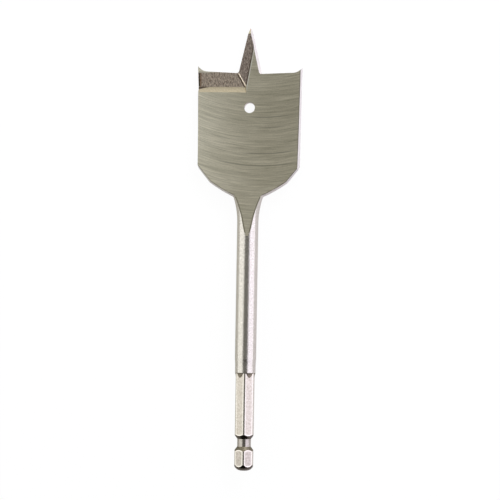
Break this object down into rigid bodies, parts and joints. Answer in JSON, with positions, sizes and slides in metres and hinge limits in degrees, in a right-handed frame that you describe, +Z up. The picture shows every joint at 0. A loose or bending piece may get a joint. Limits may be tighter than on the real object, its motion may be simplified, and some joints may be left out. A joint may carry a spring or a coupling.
{
  "type": "spade drill bit",
  "caption": "Flat spade drill bit for wide holes in wood, with a centre point, outer spurs, a round shaft and a hexagonal quick-change shank.",
  "frame": {"origin": "middle of the bounding box on the plane that the bit lies on", "axes": "+Y along the bit towards the point, +Z up from the plane out of the pictured face, +X across the blade"},
  "size_m": [0.036, 0.1524, 0.0096],
  "materials": {
    "steel": "ground blade faces and cutting edges, fine blasted shaft and shank, bare steel"
  },
  "bodies": {
    "root": {"spade_bit": "steel"}
  },
  "joints": []
}
